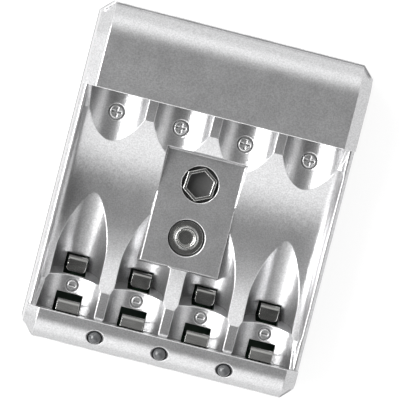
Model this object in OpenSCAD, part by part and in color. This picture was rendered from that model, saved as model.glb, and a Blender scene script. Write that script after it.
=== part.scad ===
// Four-bay AA and AAA charger with a nine-volt snap pad.
// X runs across the bays, Y runs from the lip to the head, Z is up from the table.

/* [Body] */
// Width across the four bays
body_w = 64; // [63:0.5:68]
// Length from the lip to the back of the head
body_l = 78.6; // [78.2:0.2:82]
// Height of the head above the table
head_top = 27; // [26.5:0.5:29]
// Height of the lip above the table
lip_top = 26; // [25.75:0.25:27]
// Length of the raised head
head_len = 19.8; // [19.4:0.2:22]
// Length of the lip at its top
lip_len = 6.9; // [6.8:0.1:7.6]
// Radius of the rounded back edge of the head
head_round = 8; // [7.2:0.2:8.4]
// Radius of the rounded front edge of the lip
lip_round = 5.6; // [5:0.2:6]
// Chamfer along the sides and the upright corners
edge_chamfer = 2.8; // [2.2:0.1:3]
// Thickness of the moulded walls
wall = 1.6; // [1.4:0.1:1.8]
// Height of the joint between the housing and the cover
seam_z = 6; // [5.9:0.1:6.5]
// Width of the rims beside the bays
rim_w = 1.1; // [0.9:0.1:1.4]
// Height of the rims above the ledges
rim_h = 1.5; // [1:0.1:1.8]
// Chamfer on the outside of the rims
rim_chamfer = 0.7; // [0.4:0.1:0.8]

/* [Bays] */
// Space between the outer bays and the rims
bay_edge = 0.5; // [0.3:0.05:0.8]
// Radius of the AA troughs
aa_r = 7.4; // [7.3:0.05:7.5]
// Width of an AA trough between the flat ledges
aa_mouth = 13; // [12.6:0.1:13.4]
// Height of the flat ledges between the troughs
ledge_z = 20.5; // [20.3:0.1:21]
// Length of the ledges beside the head
back_ledge = 4.9; // [4:0.1:6]
// Length of the ledges beside the lip, to the top of the lip
front_ledge = 6.45; // [6:0.1:7]
// Depth of the finger valley below the ledges
valley_depth = 6.8; // [6.6:0.1:7]
// Radius of the cove where the bay floor meets the rims
cove_r = 2.2; // [1.8:0.1:2.6]
// Radius of the cove at the foot of the lip
lip_cove = 0.8; // [0.5:0.1:1.2]
// Radius of the AAA grooves
aaa_r = 5.8; // [5.6:0.05:5.9]
// Slope of the AAA grooves
aaa_tilt = 12.4; // [12:0.1:12.8]
// Height of the step from an AAA groove up to its AA trough
aaa_step = 6.9; // [6.6:0.1:7]
// Distance from the lip edge to the step
step_gap = 8.35; // [8.2:0.05:8.6]
// Length of the AAA grooves
aaa_len = 22; // [20:0.5:24]

/* [Marks] */
// Diameter of the plus marks
plus_d = 3.9; // [3.4:0.1:4.4]
// Diameter of the minus marks
minus_d = 3.1; // [2.8:0.1:3.4]
// Width of the engraved strokes
stroke_w = 0.45; // [0.35:0.05:0.6]
// Depth of the engraving
engrave = 0.3; // [0.2:0.05:0.4]
// Distance from the head to the plus marks
plus_gap = 4.7; // [4:0.1:6]
// Distance from the lip edge to the minus marks
minus_gap = 6.15; // [6.1:0.05:6.4]

/* [Snap pad] */
// Width of the pad
pad_w = 18.3; // [17.6:0.1:19]
// Length of the pad
pad_l = 26.6; // [26.2:0.1:27]
// Distance from the middle of the valley back to the middle of the pad
pad_back = 2.25; // [2:0.05:2.5]
// Depth of the pad below the ledges
pad_depth = 6.35; // [6.2:0.05:6.5]
// Thickness of the pad
pad_t = 2; // [1.6:0.1:2.2]
// Draft of the pad walls
pad_draft = 8; // [4:0.5:10]
// Distance from the middle of the pad back to the middle of the snaps
snap_back = 0.35; // [0:0.05:0.5]
// Distance between the two snaps
snap_pitch = 12.7; // [12.6:0.05:12.8]
// Diameter of the wells round the snaps
well_d = 8.6; // [8.4:0.1:9]
// Diameter of the round stud
stud_d = 5.7; // [5.5:0.05:5.9]
// Distance across the corners of the socket
socket_d = 8; // [7.6:0.1:8.2]
// Distance across the corners of the hole in the socket
socket_hole_d = 6.5; // [6.2:0.1:6.8]
// Height of the snaps above their strip
snap_h = 2.6; // [2.2:0.1:2.8]
// Thickness of the strip under the snaps
strip_t = 1.2; // [1:0.1:1.4]

/* [Contacts] */
// Thickness of the contact sheet
sheet_t = 0.4; // [0.3:0.05:0.5]
// Width of the AA leaves
aa_leaf_w = 5.2; // [4.8:0.1:5.4]
// Width of the AAA leaves
aaa_leaf_w = 4.4; // [4:0.1:4.6]
// Room at each side of a leaf in its slot
leaf_room = 0.5; // [0.45:0.05:0.6]
// Distance of the slots to the left of their leaves
slot_shift = 0.1; // [0:0.05:0.15]
// Height of the contact bend of an AA leaf above the trough floor
aa_bend_h = 4.8; // [4.4:0.1:5.2]
// Distance from the lip edge to the contact bend of an AA leaf
aa_bend_gap = 2.9; // [2.7:0.05:3]
// Distance from the step to the contact bend of an AAA leaf
aaa_bend_gap = 4.85; // [4.6:0.05:4.95]
// Width of the positive plates
plate_w = 8; // [7:0.1:8.4]
// Height of the positive plates
plate_h = 7.2; // [6.4:0.1:7.6]
// Width of the tails of the positive plates
tail_w = 3; // [2.6:0.1:3.4]

/* [Board] */
// Thickness of the circuit board
board_t = 1.6; // [1.2:0.1:1.6]
// Height of the underside of the board
board_z = 4.2; // [4.1:0.05:4.3]
// Room between the board and the walls
board_room = 1.3; // [1.2:0.1:1.5]
// Diameter of the indicator lamps
led_d = 3; // [2.8:0.1:3.1]
// Lean of the indicator lamps towards the front
led_lean = 20; // [16:1:22]
// Distance from the front to the indicator lamps
led_gap = 3; // [2.8:0.05:3.1]
// Diameter of the hole in the inlet
jack_bore_d = 5.8; // [5.6:0.1:6]
// Diameter of the inlet pin
jack_pin_d = 2; // [1.9:0.05:2.1]
// Diameter of the larger capacitor
bulk_d = 10; // [9:0.5:11]
// Diameter of the smaller capacitor
output_d = 8; // [7:0.5:9]

/* [Cover] */
// Height of the feet below the cover
foot_h = 1; // [0.8:0.1:1.1]
// Diameter of the feet
foot_d = 8; // [7:0.2:9]
// Thickness of the cover floor
floor_t = 1.8; // [1.7:0.1:1.9]
// Diameter of the cover screws
screw_d = 2.4; // [2.2:0.1:2.5]
// Diameter of the screw heads
screw_head_d = 4.6; // [4.2:0.1:4.8]
// Number of ventilation slots
vent_n = 7; // [5:1:7]

/* [Hidden] */
$fn = 64;

// Small clearance between parts that are fitted together
fit = 0.15;
// Clearance of a screw in the hole that it grips, on the diameter
thread_fit = 0.1;
// Clearance of a screw in the hole that it passes through, on the diameter
screw_room = 0.4;
// Clearance of a pressed tube in its hole
tube_fit = 0.05;
// Overshoot of a cutting shape past the face it opens
over = 1;

// Space between the strokes of a mark and its ring
bar_gap = 0.35;

// Places along the body
back_y = body_l / 2;
front_y = -body_l / 2;
head_y = back_y - head_len;
lip_y = front_y + lip_len;
rim_z = ledge_z + rim_h;
bay_w = body_w - 2 * rim_w;
bay_pitch = (bay_w - 2 * bay_edge) / 4;

// Inside of the housing
inner_w = body_w - 2 * wall;
inner_chamfer = edge_chamfer - wall * (2 - sqrt(2));
inner_back_y = back_y - wall;
inner_front_y = front_y + wall;

// AA troughs
aa_z = ledge_z + sqrt(aa_r * aa_r - aa_mouth * aa_mouth / 4);
aa_floor_z = aa_z - aa_r;
aa_under_z = aa_floor_z - wall;

// Finger valley
valley_back_y = head_y - back_ledge;
valley_front_y = lip_y + front_ledge;
valley_y = (valley_back_y + valley_front_y) / 2;
valley_half = (valley_back_y - valley_front_y) / 2;
valley_r = (valley_half * valley_half + valley_depth * valley_depth) / (2 * valley_depth);
valley_z = ledge_z - valley_depth + valley_r;

// AAA grooves
step_y = lip_y + step_gap;
aaa_end_z = aa_floor_z - aaa_step;
aaa_end_y = step_y + aaa_step * tan(aaa_tilt);

// Snap pad
pad_y = valley_y + pad_back;
pad_z = ledge_z - pad_depth;
pad_under_z = pad_z - pad_t;
strip_z = pad_under_z - strip_t;
pad_root_z = aaa_end_z - wall / 2;
snap_y = [pad_y + snap_back + snap_pitch / 2, pad_y + snap_back - snap_pitch / 2];
flange_t = 0.4;
clinch_h = 0.8;
clinch_out = 0.7;
snap_turn = 25.5;
leg_turn = snap_turn + 90;
leg_w = 1.6;
leg_t = 0.5;
leg_r = (socket_d + socket_hole_d) / 4 * cos(30);
stud_r = stud_d / 2;
stud_neck = 0.3;
stud_round = 0.4;
stud_rim = 0.8;
well_room = 0.35;
stud_flange_r = well_d / 2 - well_room;
stud_hole_r = stud_r - stud_rim - stud_neck;
tube_r = stud_hole_r + flange_t;
lead_places = [
    [leg_r * cos(leg_turn), snap_y[0] + leg_r * sin(leg_turn)],
    [0, snap_y[1] + tube_r]
];
lead_d = 0.8;
lead_room = 0.2;
strip_gap = 0.6;
strip_w = pad_w - 2 * wall - 2 * strip_gap;
strip_l = pad_l - 2 * wall - 2 * strip_gap;

// Board
board_top = board_z + board_t;
board_w = inner_w - 2 * board_room;
board_front_y = inner_front_y + board_room;
board_back_y = inner_back_y - board_room;
tail_below = 0.4;
tail_room = 0.4;

// Contact leaves
leaf_tail_z = board_z - tail_below;
aa_slot_w = aa_leaf_w + 2 * leaf_room;
aaa_slot_w = aaa_leaf_w + 2 * leaf_room;
bend_r = 0.9;
aa_tail_back = 1.7;
aa_tip_back = 2.7;
aa_tip_rise = 0.8;
aa_root_drop = 1.4;
aa_slot_ahead = 1.4;
aa_swing = 2.7;
aa_bend_y = lip_y + aa_bend_gap;
aa_bend_z = aa_floor_z + aa_bend_h;
aa_tail_y = aa_bend_y - aa_tail_back;
aa_tip_y = aa_bend_y - aa_tip_back;
aa_tip_z = aa_bend_z + aa_tip_rise;
aa_slot_front_y = aa_bend_y + aa_slot_ahead;
aa_slot_back_y = aa_tip_y - aa_swing;
aa_slot_top = aa_tip_z + leaf_room;
aaa_bend_rise = 2.6;
aaa_tail_back = 3.15;
aaa_tip_back = 4.15;
aaa_tip_rise = 0.8;
aaa_slot_under = 0.1;
aaa_slot_skin = 0.8;
aaa_swing = 2.6;
aaa_tip_r = 1;
aaa_bend_y = step_y + aaa_bend_gap;
aaa_bend_z = aaa_end_z + aaa_bend_rise;
aaa_tail_y = aaa_bend_y - aaa_tail_back;
aaa_tip_y = aaa_bend_y - aaa_tip_back;
aaa_tip_z = aaa_bend_z + aaa_tip_rise;
aaa_slot_front_y = aaa_bend_y - aaa_slot_under;
aaa_slot_back_y = aaa_tip_y - aaa_swing;

// Positive plates
plate_rise = 1.4;
plate_z = aa_floor_z + plate_rise;
plate_room = 0.1;
dimple_r = 1.6;
dimple_out = 0.12;

// Indicator lamps
lip_round_y = front_y + lip_round;
lip_round_z = lip_top - lip_round;
led_y = front_y + led_gap;
led_z = lip_round_z + sqrt(lip_round * lip_round - pow(lip_round_y - led_y, 2));
led_rise = 0.9;
led_body = 2.9;
led_flange_t = 0.7;
led_bevel = 0.45;
led_flange_d = led_d + 0.6;
led_lead = 0.5;
led_lead_room = 0.5;
led_lead_pitch = 2.54;
led_back = led_body + led_flange_t;
led_root_y = led_y + led_back * sin(led_lean);
led_root_z = led_z - led_back * cos(led_lean);

// Cover, feet and screws
cover_z = foot_h;
cover_floor_z = cover_z + floor_t;
cover_chamfer = 1;
foot_sink = 0.6;
foot_side = 9;
foot_end = 13;
foot_x = body_w / 2 - foot_side;
foot_y = body_l / 2 - foot_end;
foot_places = [[-foot_x, foot_y], [foot_x, foot_y], [-foot_x, -foot_y], [foot_x, -foot_y]];
post_r = 2.7;
post_room = 0.5;
post_side = 3.8;
post_end = 4.4;
back_post_side = 5.5;
back_post_end = 6;
post_x = body_w / 2 - post_side;
post_y = front_y + post_end;
back_post_x = body_w / 2 - back_post_side;
back_post_y = back_y - back_post_end;
post_places = [[-post_x, post_y], [post_x, post_y], [-back_post_x, back_post_y], [back_post_x, back_post_y]];
post_rise = 0.4;
post_z = seam_z + post_rise;
screw_head_t = 1.6;
recess_in = 0.8;
recess_w = 0.55;
screw_sink = 0.6;
screw_head_z = cover_z + screw_sink;
screw_l = 9;
standoff_r = 2.2;
standoff_side = 7;
standoff_y = 12;
standoff_x = body_w / 2 - standoff_side;
standoff_places = [
    [-standoff_x, standoff_y], [standoff_x, standoff_y],
    [-standoff_x, -standoff_y], [standoff_x, -standoff_y]
];
board_screw_d = 1.8;
board_screw_head_d = 3.6;
board_screw_head_t = 1.2;
board_screw_l = 3.4;
vent_w = 1.6;
vent_l = 11;
vent_pitch = 5.4;
rib_t = 0.8;
rib_h = 1.2;

// Inlet
jack_w = 9;
jack_l = 12;
jack_h = 10.4;
jack_nose_d = 8;
jack_nose_l = 1.2;
jack_axis_z = board_top + jack_h / 2;
jack_face_y = inner_back_y + jack_nose_l;
jack_depth = 9.5;
jack_pin_l = 8.5;
jack_pin_tip = 0.5;

// Larger pieces on the board
can_foot = 1.2;
can_groove = 0.5;
flange_rim = 1.2;
flange_in = 1;
bulk_h = 15;
output_h = 12;
inductor_d = 9.6;
inductor_h = 8;
sink_w = 7;
sink_h = 15;
sink_t = 1.4;
row_edge = 1.5;
row_gap = (inner_w - 2 * row_edge - sink_w - jack_w - bulk_d - inductor_d - output_d) / 4;
row_room = 1;
row_y = head_y + wall + row_room;
sink_x = -inner_w / 2 + row_edge + sink_w / 2;
jack_x = sink_x + sink_w / 2 + row_gap + jack_w / 2;
bulk_x = jack_x + jack_w / 2 + row_gap + bulk_d / 2;
inductor_x = bulk_x + bulk_d / 2 + row_gap + inductor_d / 2;
output_x = inductor_x + inductor_d / 2 + row_gap + output_d / 2;
sink_y = head_y + wall + 2 * sink_t;
transistor_w = 6.6;
transistor_h = 8;
transistor_t = 2.6;
chip_size = [9.8, 6, 1.6];
chip_y = 4;
diode_size = [4.4, 2.6, 1.8];
diode_pitch = 5;
resistor_size = [3.2, 1.6, 0.6];
resistor_pitch = 3.6;
resistor_gap = 4.35;
resistor_y = aaa_tail_y + resistor_gap;

// Middle of a bay, counted from 1 at the left
function bay_x(i) = (i - 2.5) * bay_pitch;

// Unit vector from one point to the next
function unit(a, b) = (b - a) / norm(b - a);

// Point on one side of a bent strip, mitred at its bends
function side_point(path, i, off) =
    let (
        last = len(path) - 1,
        before = unit(path[max(i - 1, 0)], path[max(i, 1)]),
        after = unit(path[min(i, last - 1)], path[min(i + 1, last)]),
        bisector = before + after,
        across = [-bisector[1], bisector[0]] / norm(bisector),
        normal = [-after[1], after[0]]
    )
    path[i] + across * off / (across * normal);

// Outline of a bent strip of sheet
function strip_outline(path, t) = concat(
    [for (i = [0:len(path) - 1]) side_point(path, i, t / 2)],
    [for (i = [len(path) - 1:-1:0]) side_point(path, i, -t / 2)]
);

// Path with the bend at its point k rounded to radius r
function rounded_bend(path, k, r) =
    let (
        into = unit(path[k], path[k - 1]),
        out = unit(path[k], path[k + 1]),
        half = acos(into * out) / 2,
        middle = path[k] + unit([0, 0], into + out) * r / sin(half),
        start = path[k] + into * r / tan(half) - middle,
        turn = (into[0] * out[1] - into[1] * out[0] > 0 ? -1 : 1) * (180 - 2 * half),
        steps = 5
    )
    concat(
        [for (i = [0:k - 1]) path[i]],
        [for (s = [0:steps])
            let (a = turn * s / steps)
            middle + [start[0] * cos(a) - start[1] * sin(a), start[0] * sin(a) + start[1] * cos(a)]],
        [for (i = [k + 1:len(path) - 1]) path[i]]
    );

// Outline in Y and Z carried along X
module along_x(w) {
    rotate([90, 0, 90])
        linear_extrude(w, center = true)
            children();
}

// Outline in X and Z carried along Y
module along_y(y0, y1) {
    translate([0, y1, 0])
        rotate([90, 0, 0])
            linear_extrude(y1 - y0)
                children();
}

// Outline in X and Y carried along Z
module along_z(z0, z1) {
    translate([0, 0, z0])
        linear_extrude(z1 - z0)
            children();
}

// Box given by its corners
module block(low, high) {
    translate(low)
        cube(high - low);
}

// Rectangle with chamfered corners
module chamfered(w, y0, y1, c) {
    polygon([
        [-w / 2 + c, y0], [w / 2 - c, y0], [w / 2, y0 + c], [w / 2, y1 - c],
        [w / 2 - c, y1], [-w / 2 + c, y1], [-w / 2, y1 - c], [-w / 2, y0 + c]
    ]);
}

// End of the body: upper outer edge rounded, sides and upright corners chamfered
module end_block(y_in, y_out, z_lo, z_hi, w, r, c) {
    s = sign(y_out - y_in);
    y_c = y_out - s * r;
    along_y(min(y_in, y_c), max(y_in, y_c))
        polygon([
            [-w / 2, z_lo], [w / 2, z_lo], [w / 2, z_hi - c],
            [w / 2 - c, z_hi], [-w / 2 + c, z_hi], [-w / 2, z_hi - c]
        ]);
    along_z(z_lo, z_hi - r)
        polygon([
            [-w / 2, y_in], [w / 2, y_in], [w / 2, y_out - s * c],
            [w / 2 - c, y_out], [-w / 2 + c, y_out], [-w / 2, y_out - s * c]
        ]);
    intersection() {
        translate([0, y_c, z_hi - r])
            rotate([0, 90, 0])
                rotate_extrude()
                    polygon([
                        [0, -w / 2], [r - c, -w / 2], [r, -w / 2 + c],
                        [r, w / 2 - c], [r - c, w / 2], [0, w / 2]
                    ]);
        block([-w, min(y_c, y_out) - over, z_hi - r], [w, max(y_c, y_out) + over, z_hi + over]);
    }
}

// Outer form of the housing before the bays are cut
module housing_outer() {
    intersection() {
        along_z(seam_z, rim_z)
            chamfered(body_w, front_y, back_y, edge_chamfer);
        along_y(front_y - over, back_y + over)
            polygon([
                [-body_w / 2, seam_z - over], [body_w / 2, seam_z - over],
                [body_w / 2, rim_z - rim_chamfer], [body_w / 2 - rim_chamfer, rim_z],
                [-body_w / 2 + rim_chamfer, rim_z], [-body_w / 2, rim_z - rim_chamfer]
            ]);
    }
    end_block(head_y, back_y, seam_z, head_top, body_w, head_round, edge_chamfer);
    end_block(lip_y, front_y, seam_z, lip_top, body_w, lip_round, edge_chamfer);
}

// Rectangle from a to b on the ledge level, with its foot coved at both ends
module coved(a, b, h, r) {
    translate([a + r, ledge_z])
        square([b - a - 2 * r, h]);
    translate([a, ledge_z + r])
        square([b - a, h - r]);
    for (c = [a + r, b - r])
        translate([c, ledge_z + r])
            circle(r);
}

// Outer ledges rise to the rims as they near the head and the lip
module ledge_ramps() {
    for (s = [-1, 1])
        translate([s * (bay_x(4) + bay_w / 2) / 2, 0, 0])
            along_x(bay_w / 2 - bay_x(4)) {
                polygon([[valley_front_y, ledge_z], [lip_y, ledge_z], [lip_y, rim_z]]);
                polygon([[valley_back_y, ledge_z], [head_y, ledge_z], [head_y, rim_z]]);
            }
}

// Open space above the ledges, between the rims, the head and the lip
module ledge_space() {
    h = head_top - ledge_z + over;
    difference() {
        intersection() {
            along_y(lip_y, head_y)
                coved(-bay_w / 2, bay_w / 2, h, cove_r);
            along_x(body_w)
                coved(lip_y, head_y + lip_cove, h, lip_cove);
        }
        ledge_ramps();
    }
}

// Finger valley, coved where it meets the rims, grown by a wall for the inside
module valley_space(grow) {
    r = valley_r + grow;
    w = bay_w + 2 * grow;
    reach = valley_half + 2 * grow + over;
    intersection() {
        translate([0, valley_y, valley_z])
            rotate([0, 90, 0])
                rotate_extrude()
                    union() {
                        translate([0, -w / 2])
                            square([r - cove_r, w]);
                        translate([0, -w / 2 + cove_r])
                            square([r, w - 2 * cove_r]);
                        for (s = [-1, 1])
                            translate([r - cove_r, s * (w / 2 - cove_r)])
                                circle(cove_r);
                    }
        block(
            [-body_w, valley_y - reach, ledge_z - valley_depth - grow - over],
            [body_w, valley_y + reach, rim_z + over]
        );
    }
}

// AA trough of one bay, grown by a wall for the inside
module aa_space(i, grow) {
    along_y(lip_y - grow, head_y + grow)
        translate([bay_x(i), aa_z])
            circle(aa_r + grow);
}

// Sloping AAA groove of one bay, grown by a wall for the inside
module aaa_space(i, grow) {
    r = aaa_r + grow;
    translate([bay_x(i), aaa_end_y, aaa_end_z])
        rotate([aaa_tilt, 0, 0])
            along_y(-grow, aaa_len) {
                translate([0, aaa_r])
                    circle(r);
                translate([-r, aaa_r])
                    square([2 * r, 2 * aaa_r + over]);
            }
}

// Snap pad between two heights, with its walls drafted from the pad surface
module pad_form(z0, z1, lean) {
    g0 = lean * (z0 - pad_z) * tan(pad_draft);
    g1 = lean * (z1 - pad_z) * tan(pad_draft);
    x = pad_w / 2;
    y0 = pad_y - pad_l / 2;
    y1 = pad_y + pad_l / 2;
    intersection() {
        along_y(y0 - pad_l, y1 + pad_l)
            polygon([[-x - g0, z0], [x + g0, z0], [x + g1, z1], [-x - g1, z1]]);
        along_x(2 * pad_w)
            polygon([[y0 - g0, z0], [y1 + g0, z0], [y1 + g1, z1], [y0 - g1, z1]]);
    }
}

// Hollow under the snap pad
module pad_hollow() {
    block(
        [-pad_w / 2 + wall, pad_y - pad_l / 2 + wall, seam_z],
        [pad_w / 2 - wall, pad_y + pad_l / 2 - wall, pad_under_z]
    );
}

// Walls that close the housing round the end of the pad that lies deeper than the valley
module pad_walls() {
    room = wall + pad_depth * tan(pad_draft);
    block(
        [-pad_w / 2 - room, pad_y, pad_under_z],
        [pad_w / 2 + room, pad_y + pad_l / 2 + room, ledge_z]
    );
}

// Inside of the housing
module housing_inside() {
    end_block(head_y + wall, inner_back_y, seam_z - over, head_top - wall,
        inner_w, head_round - wall, inner_chamfer);
    end_block(lip_y - wall, inner_front_y, seam_z - over, lip_top - wall,
        inner_w, lip_round - wall, inner_chamfer);
    difference() {
        along_z(seam_z - over, ledge_z - wall)
            chamfered(inner_w, inner_front_y, inner_back_y, inner_chamfer);
        valley_space(wall);
        for (i = [1:4]) {
            aa_space(i, wall);
            aaa_space(i, wall);
        }
        pad_form(pad_root_z, pad_z, -1);
        pad_walls();
    }
}

// Slots that the leaves stand in, and the seats of the positive plates
module contact_cuts() {
    for (i = [1:4])
        translate([bay_x(i), 0, 0]) {
            block(
                [-aa_slot_w / 2 - slot_shift, aa_slot_back_y, aa_under_z - over],
                [aa_slot_w / 2 - slot_shift, aa_slot_front_y, aa_slot_top]
            );
            block(
                [-aaa_slot_w / 2 - slot_shift, aaa_slot_back_y, seam_z],
                [aaa_slot_w / 2 - slot_shift, aaa_slot_front_y, aa_floor_z - aaa_slot_skin]
            );
            block(
                [-plate_w / 2 - plate_room, head_y - plate_room, plate_z - plate_room],
                [plate_w / 2 + plate_room, head_y + sheet_t, plate_z + plate_h + plate_room]
            );
            block(
                [-tail_w / 2 - plate_room, head_y - plate_room, aa_under_z - over],
                [tail_w / 2 + plate_room, head_y + sheet_t + fit, plate_z + over]
            );
        }
}

// Holes of the indicator lamps, wider behind for their flanges
module led_cuts() {
    for (k = [-1:1])
        translate([k * bay_pitch, led_y, led_z])
            rotate([led_lean, 0, 0]) {
                translate([0, 0, -led_body])
                    cylinder(h = led_body + 2 * led_rise, d = led_d + 2 * fit);
                translate([0, 0, -led_bevel])
                    cylinder(h = 2 * led_bevel, d1 = led_d + 2 * fit, d2 = led_d + 2 * fit + 4 * led_bevel);
                translate([0, 0, -led_back - over])
                    cylinder(h = over + led_flange_t, d = led_flange_d + 2 * fit);
            }
}

// Ring with strokes across it, cut down into a trough
module mark(d, strokes) {
    translate([0, 0, aa_floor_z - engrave])
        linear_extrude(aa_r)
            union() {
                difference() {
                    circle(d = d);
                    circle(d = d - 2 * stroke_w);
                }
                for (a = strokes)
                    rotate(a)
                        square([d - 2 * stroke_w - 2 * bar_gap, stroke_w], center = true);
            }
}

// Plus at the head and minus at the lip of each bay
module marks() {
    for (i = [1:4]) {
        translate([bay_x(i), head_y - plus_gap, 0])
            mark(plus_d, [0, 90]);
        translate([bay_x(i), lip_y + minus_gap, 0])
            mark(minus_d, [0]);
    }
}

// Screw posts that hang down inside the housing
module posts() {
    intersection() {
        for (p = post_places)
            translate([p[0], p[1], post_z])
                cylinder(h = head_top, r = post_r);
        housing_outer();
    }
}

module upper_housing() {
    color("silver")
        difference() {
            union() {
                difference() {
                    housing_outer();
                    ledge_space();
                    valley_space(0);
                    for (i = [1:4]) {
                        aa_space(i, 0);
                        aaa_space(i, 0);
                    }
                    housing_inside();
                }
                pad_form(pad_root_z, pad_z, -1);
                difference() {
                    posts();
                    ledge_space();
                    for (i = [1:4])
                        aa_space(i, 0);
                }
            }
            pad_form(pad_z, aa_z, 1);
            pad_hollow();
            for (y = snap_y)
                translate([0, y, pad_under_z - over])
                    cylinder(h = pad_t + 2 * over, d = well_d);
            contact_cuts();
            led_cuts();
            marks();
            for (p = post_places)
                translate([p[0], p[1], post_z - over])
                    cylinder(h = screw_l, d = screw_d + thread_fit);
            translate([jack_x, back_y + over, jack_axis_z])
                rotate([90, 0, 0])
                    cylinder(h = wall + 2 * over, d = jack_nose_d + 2 * fit);
        }
}

module lower_cover() {
    color("dimgray")
        difference() {
            union() {
                difference() {
                    intersection() {
                        along_z(cover_z, seam_z)
                            chamfered(body_w, front_y, back_y, edge_chamfer);
                        along_y(front_y - over, back_y + over)
                            polygon([
                                [-body_w / 2 + cover_chamfer, cover_z], [body_w / 2 - cover_chamfer, cover_z],
                                [body_w / 2, cover_z + cover_chamfer], [body_w / 2, seam_z + over],
                                [-body_w / 2, seam_z + over], [-body_w / 2, cover_z + cover_chamfer]
                            ]);
                        along_x(body_w + over)
                            polygon([
                                [front_y + cover_chamfer, cover_z], [back_y - cover_chamfer, cover_z],
                                [back_y, cover_z + cover_chamfer], [back_y, seam_z + over],
                                [front_y, seam_z + over], [front_y, cover_z + cover_chamfer]
                            ]);
                    }
                    along_z(cover_floor_z, seam_z + over)
                        chamfered(inner_w, inner_front_y, inner_back_y, inner_chamfer);
                }
                intersection() {
                    for (p = post_places)
                        translate([p[0], p[1], cover_z + floor_t / 2])
                            cylinder(h = post_z - cover_z - floor_t / 2, r = post_r);
                    along_z(cover_z, post_z)
                        chamfered(inner_w - 2 * fit, inner_front_y + fit, inner_back_y - fit, inner_chamfer);
                }
                for (p = standoff_places)
                    translate([p[0], p[1], cover_z + floor_t / 2])
                        cylinder(h = board_z - cover_z - floor_t / 2, r = standoff_r);
                for (s = [-1, 1])
                    translate([s * (inner_w / 2 - fit - rib_t / 2), 0, 0])
                        block(
                            [-rib_t / 2, -valley_half, cover_floor_z - floor_t / 2],
                            [rib_t / 2, valley_half, seam_z + rib_h]
                        );
            }
            for (p = post_places)
                translate([p[0], p[1], cover_z - over]) {
                    cylinder(h = screw_head_z - cover_z + screw_head_t + over, d = screw_head_d + screw_room);
                    cylinder(h = seam_z + 2 * over, d = screw_d + screw_room);
                }
            for (p = standoff_places)
                translate([p[0], p[1], board_top - board_screw_l - fit])
                    cylinder(h = board_top, d = board_screw_d + thread_fit);
            for (p = foot_places)
                translate([p[0], p[1], cover_z - over])
                    cylinder(h = over + foot_sink, d = foot_d + 2 * fit);
            for (k = [0:vent_n - 1])
                translate([(k - (vent_n - 1) / 2) * vent_pitch, head_y + head_len / 2, cover_z + floor_t / 2])
                    cube([vent_w, vent_l, floor_t + 2 * over], center = true);
        }
}

module rubber_foot(k) {
    color("black")
        translate([foot_places[k - 1][0], foot_places[k - 1][1], 0])
            rotate_extrude()
                polygon([
                    [0, 0], [foot_d / 2 - foot_h / 2, 0], [foot_d / 2, foot_h / 2],
                    [foot_d / 2, foot_h + foot_sink], [0, foot_h + foot_sink]
                ]);
}

// Screw with a cross recess, its head below or above
module pan_screw(d, l, head_d, head_t) {
    difference() {
        union() {
            cylinder(h = head_t, d = head_d);
            cylinder(h = head_t + l, d = d);
        }
        for (a = [0, 90])
            rotate(a)
                cube([head_d - 2 * recess_in, recess_w, head_t], center = true);
    }
}

module cover_screws() {
    color("gainsboro")
        for (p = post_places)
            translate([p[0], p[1], screw_head_z])
                pan_screw(screw_d, screw_l - over, screw_head_d, screw_head_t);
}

module board_screws() {
    color("gainsboro")
        for (p = standoff_places)
            translate([p[0], p[1], board_top + board_screw_head_t])
                rotate([180, 0, 0])
                    pan_screw(board_screw_d, board_screw_l, board_screw_head_d, board_screw_head_t);
}

// Hole in the board for a flat tail
module tail_hole(x, y, w) {
    translate([x, y, board_z + board_t / 2])
        cube([w + 2 * tail_room, sheet_t + 2 * tail_room, board_t + 2 * over], center = true);
}

module main_board() {
    color("darkgreen")
        difference() {
            along_z(board_z, board_top)
                chamfered(board_w, board_front_y, board_back_y, edge_chamfer);
            for (p = post_places)
                translate([p[0], p[1], board_z - over])
                    cylinder(h = board_t + 2 * over, r = post_r + post_room);
            for (p = standoff_places)
                translate([p[0], p[1], board_z - over])
                    cylinder(h = board_t + 2 * over, d = board_screw_d + screw_room);
            for (i = [1:4]) {
                tail_hole(bay_x(i), aa_tail_y, aa_leaf_w);
                tail_hole(bay_x(i), aaa_tail_y, aaa_leaf_w);
                tail_hole(bay_x(i), head_y + sheet_t / 2, tail_w);
            }
            for (k = [-1:1], s = [-1, 1])
                translate([k * bay_pitch + s * led_lead_pitch / 2, led_root_y, board_z - over])
                    cylinder(h = board_t + 2 * over, d = led_lead + led_lead_room);
            for (p = lead_places)
                translate([p[0], p[1], board_z - over])
                    cylinder(h = board_t + 2 * over, d = lead_d + lead_room);
        }
}

module controller_chip() {
    color("black")
        translate([bay_pitch - chip_size[0] / 2, chip_y - chip_size[1] / 2, board_top])
            cube(chip_size);
}

module diodes() {
    color("black")
        for (k = [-1:2])
            translate([-bay_pitch - diode_size[0] / 2, k * diode_pitch - diode_size[1] / 2, board_top])
                cube(diode_size);
}

module resistors() {
    color("black")
        for (k = [-2:2])
            translate([k * resistor_pitch - resistor_size[0] / 2, resistor_y - resistor_size[1] / 2, board_top])
                cube(resistor_size);
}

// Can capacitor with a rolled groove near its foot
module can(d, h) {
    rotate_extrude()
        polygon([
            [0, 0], [d / 2, 0], [d / 2, can_foot], [d / 2 - can_groove, can_foot + can_groove],
            [d / 2, can_foot + 2 * can_groove], [d / 2, h - can_groove], [d / 2 - can_groove, h], [0, h]
        ]);
}

module bulk_capacitor() {
    color("midnightblue")
        translate([bulk_x, row_y + bulk_d / 2, board_top])
            can(bulk_d, bulk_h);
}

module output_capacitor() {
    color("midnightblue")
        translate([output_x, row_y + output_d / 2, board_top])
            can(output_d, output_h);
}

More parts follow.
